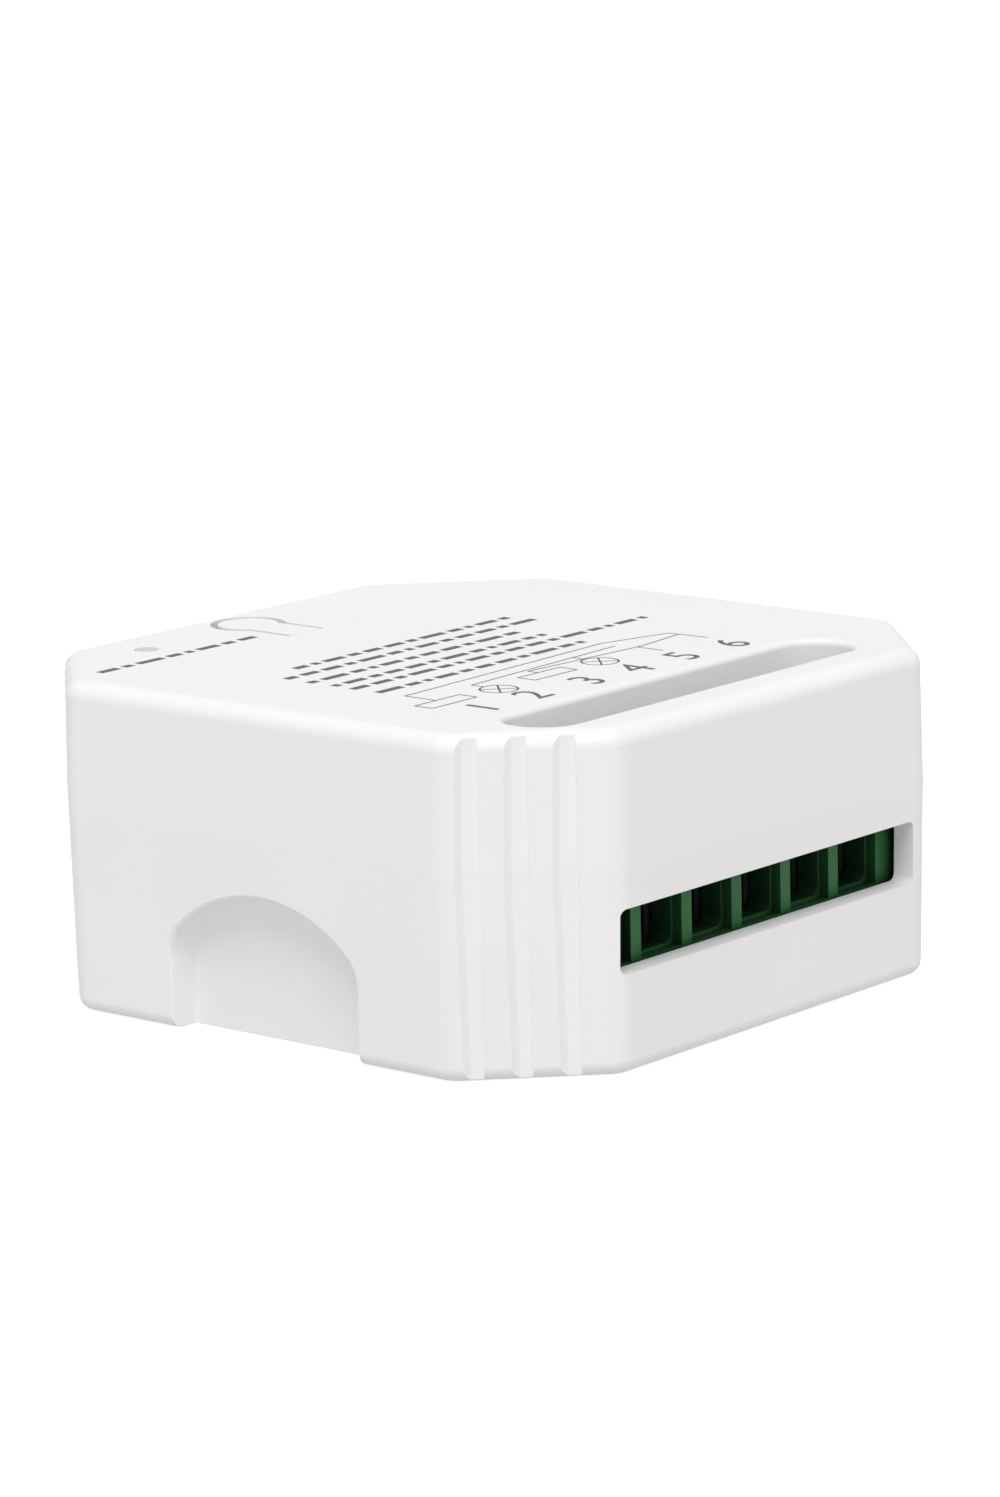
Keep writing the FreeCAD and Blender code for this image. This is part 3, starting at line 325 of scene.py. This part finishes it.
def clear_plastic():
    """Frosted light pipe."""
    material, tree, shader = new_material("clear_plastic_finish")
    vector = place_vector(tree)
    frost = noise(tree, vector, 0.06, roughness=0.6)
    haze = noise(tree, vector, 1.6, detail=2.0)
    colours = two_tone(tree, haze, (0.74, 0.75, 0.755), (0.78, 0.785, 0.79))
    tree.links.new(colours, shader.inputs["Base Color"])
    tree.links.new(spread(tree, frost, 0.22, 0.34), shader.inputs["Roughness"])
    tree.links.new(bump(tree, frost, 0.005, strength=0.3), shader.inputs["Normal"])
    shader.inputs["Transmission Weight"].default_value = 0.2
    shader.inputs["IOR"].default_value = PLASTIC_IOR
    return material


def film():
    """Thin grey-green insulation sheet with pressed fibres."""
    material, tree, shader = new_material("insulation_film_finish")
    vector = place_vector(tree, stretch=(1.0, 6.0, 1.0))
    fibres = noise(tree, vector, 0.5, detail=4.0, roughness=0.65)
    colours = two_tone(tree, fibres, (0.20, 0.25, 0.22), (0.30, 0.36, 0.31))
    tree.links.new(colours, shader.inputs["Base Color"])
    tree.links.new(spread(tree, fibres, 0.45, 0.6), shader.inputs["Roughness"])
    tree.links.new(bump(tree, fibres, 0.02, strength=0.4), shader.inputs["Normal"])
    return material


def ink():
    """Pad-printed grey ink, thinner in places."""
    material, tree, shader = new_material("printed_ink")
    vector = place_vector(tree)
    thin = noise(tree, vector, 0.12, detail=4.0, roughness=0.65)
    colours = two_tone(tree, thin, (0.07, 0.07, 0.073), (0.15, 0.15, 0.154), start=0.3, end=0.75)
    tree.links.new(colours, shader.inputs["Base Color"])
    tree.links.new(spread(tree, thin, 0.5, 0.65), shader.inputs["Roughness"])
    tree.links.new(bump(tree, thin, 0.004, strength=0.4), shader.inputs["Normal"])
    return material


def make_finishes():
    """One finish for each material slot."""
    return {
        # White plastic: painted light in its recesses, lighter where its own walls close round
        "white_plastic": moulded("white_plastic_with_painted_recess_light", (0.87, 0.87, 0.866), 0.47,
                                 grain_mm=0.15, depth_mm=0.022, tone=0.012, strength=0.45,
                                 recess_painted_tone=1.12),
        "clear_plastic": clear_plastic(),
        "led_resin": moulded("led_resin_finish", (0.82, 0.79, 0.62), 0.28,
                             grain_mm=0.3, depth_mm=0.008, tone=0.06),
        "circuit_board": circuit_board(),
        # Plated steel: painted shade in its recesses
        "plated_steel": metal("plated_steel_with_painted_recess_shade", (0.60, 0.60, 0.59), 0.34,
                              stretch=(1.0, 8.0, 1.0), recess_painted_tone=0.12),
        "insulation_film": film(),
        # Terminal plastic: painted shade deep in the wire entries and other recesses
        "terminal_plastic": moulded("terminal_plastic_with_painted_recess_shade", (0.034, 0.165, 0.052), 0.46,
                                    grain_mm=0.12, depth_mm=0.012, tone=0.08, strength=0.4,
                                    recess_painted_tone=0.1, gloss=0.22),
        "tinned_brass": metal("tinned_brass_finish", (0.66, 0.64, 0.58), 0.3,
                              stretch=(6.0, 1.0, 1.0)),
        "relay_plastic": moulded("relay_plastic_finish", (0.03, 0.085, 0.30), 0.36,
                                 grain_mm=0.12, depth_mm=0.01, tone=0.08),
        "black_plastic": moulded("black_plastic_finish", (0.018, 0.018, 0.019), 0.44,
                                 grain_mm=0.1, depth_mm=0.015, tone=0.15),
        "bobbin_plastic": moulded("bobbin_plastic_finish", (0.10, 0.10, 0.095), 0.4,
                                  grain_mm=0.12, depth_mm=0.01, tone=0.1),
        "enamelled_copper": wound_copper(),
        "contact_copper": metal("contact_copper_finish", (0.62, 0.33, 0.20), 0.28,
                                stretch=(1.0, 10.0, 1.0)),
        "ferrite": moulded("ferrite_finish", (0.035, 0.034, 0.034), 0.6,
                           grain_mm=0.2, depth_mm=0.04, tone=0.2),
        "shield_tin": metal("shield_tin_finish", (0.72, 0.71, 0.68), 0.3,
                            stretch=(1.0, 14.0, 1.0), grain_mm=0.2),
        "capacitor_sleeve": moulded("capacitor_sleeve_finish", (0.02, 0.022, 0.03), 0.3,
                                    grain_mm=0.4, depth_mm=0.01, tone=0.15),
        "film_capacitor_case": moulded("film_capacitor_case_finish", (0.70, 0.52, 0.08), 0.38,
                                       grain_mm=0.15, depth_mm=0.012, tone=0.06),
        "varistor_coating": moulded("varistor_coating_finish", (0.02, 0.07, 0.32), 0.42,
                                    grain_mm=0.6, depth_mm=0.05, tone=0.1),
        "fuse_ceramic": moulded("fuse_ceramic_finish", (0.74, 0.72, 0.66), 0.5,
                                grain_mm=0.2, depth_mm=0.02, tone=0.05),
    }


def dress_nodes(finishes):
    """Gives each carried-over node the finish of its slot."""
    for entry in frame["record"]["subparts"]:
        piece = frame["nodes"][entry["node"]]
        finish = finishes[entry["material_slot"]]
        if not piece.material_slots:
            piece.data.materials.append(finish)
        for slot in piece.material_slots:
            slot.material = finish


# Printed marks, drawn in millimetres


def add_prism(mesh, corners, z_low, z_high):
    """Closed prism over corners that run anticlockwise."""
    low = [mesh.verts.new((corner.x * MM, corner.y * MM, z_low * MM)) for corner in corners]
    high = [mesh.verts.new((corner.x * MM, corner.y * MM, z_high * MM)) for corner in corners]
    mesh.faces.new(list(reversed(low)))
    mesh.faces.new(high)
    count = len(corners)
    for index in range(count):
        after = (index + 1) % count
        mesh.faces.new((low[index], low[after], high[after], high[index]))


def add_bar(mesh, start, end, width, z_low, z_high):
    """Closed flat bar between two points."""
    along = Vector((end[0] - start[0], end[1] - start[1], 0.0))
    across = Vector((-along.y, along.x, 0.0)).normalized() * width / 2.0
    corners = [
        Vector((*start, 0.0)) - across,
        Vector((*end, 0.0)) - across,
        Vector((*end, 0.0)) + across,
        Vector((*start, 0.0)) + across,
    ]
    add_prism(mesh, corners, z_low, z_high)


def add_ring(mesh, centre, radius, width, z_low, z_high):
    """Closed flat ring."""
    inner = radius - width / 2.0
    outer = radius + width / 2.0
    section = ((inner, z_low), (outer, z_low), (outer, z_high), (inner, z_high))
    loops = []
    for index in range(RING_STEPS):
        angle = 2.0 * math.pi * index / RING_STEPS
        loops.append([
            mesh.verts.new(((centre[0] + size * math.cos(angle)) * MM,
                            (centre[1] + size * math.sin(angle)) * MM, z * MM))
            for size, z in section
        ])
    for index, here in enumerate(loops):
        after = loops[(index + 1) % RING_STEPS]
        for corner in range(len(section)):
            other = (corner + 1) % len(section)
            mesh.faces.new((here[corner], after[corner], after[other], here[other]))


def mark_piece(name, mesh, finish):
    """Turns drawn marks into a piece that rides on the housing."""
    data = bpy.data.meshes.new(name)
    mesh.to_mesh(data)
    mesh.free()
    piece = bpy.data.objects.new(name, data)
    bpy.context.scene.collection.objects.link(piece)
    data.materials.append(finish)
    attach(piece, "housing")


def draw_rows(z_low, z_high, finish):
    """Plain rows of dashes where the object has lines of small print: start, end and height."""
    mesh = bmesh.new()
    rows = (
        (-19.7, -4.5, 15.5),
        (-11.9, 9.05, 6.0),
        (-14.75, 10.3, 4.17),
        (-14.9, 5.7, 2.13),
        (-14.8, 5.8, 0.18),
        (-14.9, 14.2, -1.45),
        (-14.85, 5.96, -3.5),
    )
    for number, (x_start, x_end, y) in enumerate(rows):
        x = x_start
        step = number * DASHES_SKIPPED_PER_ROW
        while x < x_end - SHORTEST_DASH:
            length = min(DASH_LENGTHS[step % len(DASH_LENGTHS)], x_end - x)
            add_bar(mesh, (x, y), (x + length, y), DASH_HEIGHT, z_low, z_high)
            x += length + DASH_GAP
            step += 1
    mark_piece("printed_rows", mesh, finish)


def draw_box(mesh, x_low, x_high, y, z_low, z_high):
    """Box of the wiring diagram, drawn with a thin line."""
    corners = [
        (x_low, y - BOX_HALF_HEIGHT),
        (x_high, y - BOX_HALF_HEIGHT),
        (x_high, y + BOX_HALF_HEIGHT),
        (x_low, y + BOX_HALF_HEIGHT),
    ]
    for start, end in zip(corners, corners[1:] + corners[:1]):
        add_bar(mesh, start, end, LINE_WIDTH, z_low, z_high)


def draw_lamp(mesh, centre, z_low, z_high):
    """Lamp of the wiring diagram: a circle with a cross."""
    add_ring(mesh, centre, LAMP_RADIUS, LINE_WIDTH, z_low, z_high)
    reach = LAMP_RADIUS * math.sqrt(0.5)
    for side in (-1, 1):
        add_bar(mesh, (centre[0] - reach, centre[1] - side * reach),
                (centre[0] + reach, centre[1] + side * reach), LINE_WIDTH, z_low, z_high)


def draw_diagram(z_low, z_high, finish):
    """Plain line drawing: two switched lines, two lamps and two boxes."""
    mesh = bmesh.new()
    lines = (
        ((-14.7, -5.6), (5.3, -4.9)),
        ((5.3, -4.9), (10.5, -6.3)),
        ((10.5, -6.3), (10.7, -9.4)),
        ((-9.8, -6.8), (5.1, -6.2)),
        ((-9.8, -6.8), (-9.8, -7.8)),
        ((-4.45, -6.9), (6.0, -7.6)),
        ((6.0, -7.6), (10.6, -7.1)),
        ((5.65, -7.6), (5.65, -9.7)),
        ((0.6, -6.4), (0.6, -7.4)),
        ((-14.7, -5.6), (-14.7, -8.1)),
        ((-4.45, -6.9), (-4.45, -7.7)),
    )
    for start, end in lines:
        add_bar(mesh, start, end, LINE_WIDTH, z_low, z_high)
    for x_low, x_high, y in ((-16.7, -12.5, -8.8), (-6.4, -2.3, -8.4)):
        draw_box(mesh, x_low, x_high, y, z_low, z_high)
    for centre in ((-9.8, -9.0), (0.6, -8.6)):
        draw_lamp(mesh, centre, z_low, z_high)
    mark_piece("printed_diagram", mesh, finish)


def draw_numbers(z_low, z_high, finish):
    """Plain numbers beside the six terminals."""
    mesh = bmesh.new()
    for index, x in enumerate(DIGIT_X):
        text = bpy.data.curves.new("number_outline", "FONT")
        text.body = str(index + 1)
        text.align_x = "CENTER"
        text.align_y = "CENTER"
        text.size = DIGIT_HEIGHT / DIGIT_SHARE
        text.extrude = (z_high - z_low) / 2.0
        text.resolution_u = CURVE_STEPS
        holder = bpy.data.objects.new("number_outline", text)
        bpy.context.scene.collection.objects.link(holder)
        bpy.context.view_layer.update()
        outline = bpy.data.meshes.new_from_object(
            holder.evaluated_get(bpy.context.evaluated_depsgraph_get()))
        place = Vector((x, DIGIT_Y, (z_low + z_high) / 2.0)) * MM
        outline.transform(Matrix.Translation(place) @ Matrix.Scale(MM, 4))
        mesh.from_mesh(outline)
        bpy.data.objects.remove(holder)
        bpy.data.meshes.remove(outline)
        bpy.data.curves.remove(text)
    bmesh.ops.remove_doubles(mesh, verts=mesh.verts, dist=MERGE_DISTANCE)
    mark_piece("printed_numbers", mesh, finish)


def draw_marks():
    """All marks on the top, in one ink."""
    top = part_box("top_cover")[1][2] / MM
    finish = ink()
    for draw in (draw_rows, draw_diagram, draw_numbers):
        draw(top - INK_BELOW, top + INK_ABOVE, finish)


# Floor, light and camera


def make_floor():
    """Plain pale floor, a matt white sheet lit from below like a light table."""
    material, tree, shader = new_material("floor_finish")
    vector = place_vector(tree)
    cloud = noise(tree, vector, 60.0, detail=2.0)
    colours = two_tone(tree, cloud, (0.59, 0.59, 0.59), (0.61, 0.61, 0.61))
    tree.links.new(colours, shader.inputs["Base Color"])
    tree.links.new(spread(tree, cloud, 0.85, 0.95), shader.inputs["Roughness"])
    shader.inputs["Specular IOR Level"].default_value = 0.1
    shader.inputs["Emission Color"].default_value = (1.0, 1.0, 1.0, 1.0)
    shader.inputs["Emission Strength"].default_value = FLOOR_GLOW
    mesh = bpy.data.meshes.new("floor")
    corners = [(x * FLOOR_HALF, y * FLOOR_HALF, 0.0)
               for x, y in ((-1, -1), (1, -1), (1, 1), (-1, 1))]
    mesh.from_pydata(corners, [], [(0, 1, 2, 3)])
    mesh.materials.append(material)
    floor = bpy.data.objects.new("floor", mesh)
    bpy.context.scene.collection.objects.link(floor)
    floor.visible_diffuse = False
    floor.visible_glossy = False


def make_surroundings():
    """White surroundings, brighter below the horizon than above it and dimmer straight below."""
    world = bpy.data.worlds.new("white_studio")
    world.use_nodes = True
    tree = world.node_tree
    direction = add_node(tree, "ShaderNodeTexCoord")
    parts = add_node(tree, "ShaderNodeSeparateXYZ")
    tree.links.new(direction.outputs["Generated"], parts.inputs["Vector"])
    height = parts.outputs["Z"]
    strength = spread(tree, height, GROUND, SKY, *HORIZON_BAND)
    under = spread(tree, height, UNDERSIDE, 1.0, *UNDERSIDE_BAND)
    product = add_node(tree, "ShaderNodeMath", operation="MULTIPLY")
    tree.links.new(strength, product.inputs[0])
    tree.links.new(under, product.inputs[1])
    background = tree.nodes["Background"]
    tree.links.new(product.outputs["Value"], background.inputs["Strength"])
    background.inputs["Color"].default_value = (1.0, 1.0, 1.0, 1.0)
    bpy.context.scene.world = world


def make_key():
    """Broad soft light above the near corner."""
    data = bpy.data.lights.new("light_above", "SUN")
    data.angle = math.radians(KEY_SPREAD)
    data.energy = KEY_POWER
    light = bpy.data.objects.new("light_above", data)
    light.location = KEY_FROM
    light.rotation_euler = (-Vector(KEY_FROM)).to_track_quat("-Z", "Y").to_euler()
    bpy.context.scene.collection.objects.link(light)


def make_camera():
    """Camera at the photograph's place, turned by azimuth, elevation and roll."""
    azimuth = math.radians(CAMERA_AZIMUTH)
    elevation = math.radians(CAMERA_ELEVATION)
    roll = math.radians(CAMERA_ROLL)
    back = Vector((math.sin(azimuth) * math.cos(elevation),
                   -math.cos(azimuth) * math.cos(elevation), math.sin(elevation)))
    level = Vector((math.cos(azimuth), math.sin(azimuth), 0.0))
    upright = back.cross(level)
    right = level * math.cos(roll) + upright * math.sin(roll)
    up = upright * math.cos(roll) - level * math.sin(roll)
    turn = Matrix((right, up, back)).transposed().to_4x4()
    data = bpy.data.cameras.new("camera")
    data.sensor_fit = "AUTO"
    data.sensor_width = SENSOR_MM
    data.lens = FOCAL_PIXELS * SENSOR_MM / LONG_SIDE_PIXELS
    data.clip_start = CLIP_NEAR
    data.clip_end = CLIP_FAR
    camera = bpy.data.objects.new("camera", data)
    camera.matrix_world = Matrix.Translation(Vector(CAMERA_PLACE_MM) * MM) @ turn
    bpy.context.scene.collection.objects.link(camera)
    bpy.context.scene.camera = camera


make_camera()
dress_nodes(make_finishes())
draw_marks()
make_floor()
make_surroundings()
make_key()
bpy.context.scene.view_settings.view_transform = "Standard"
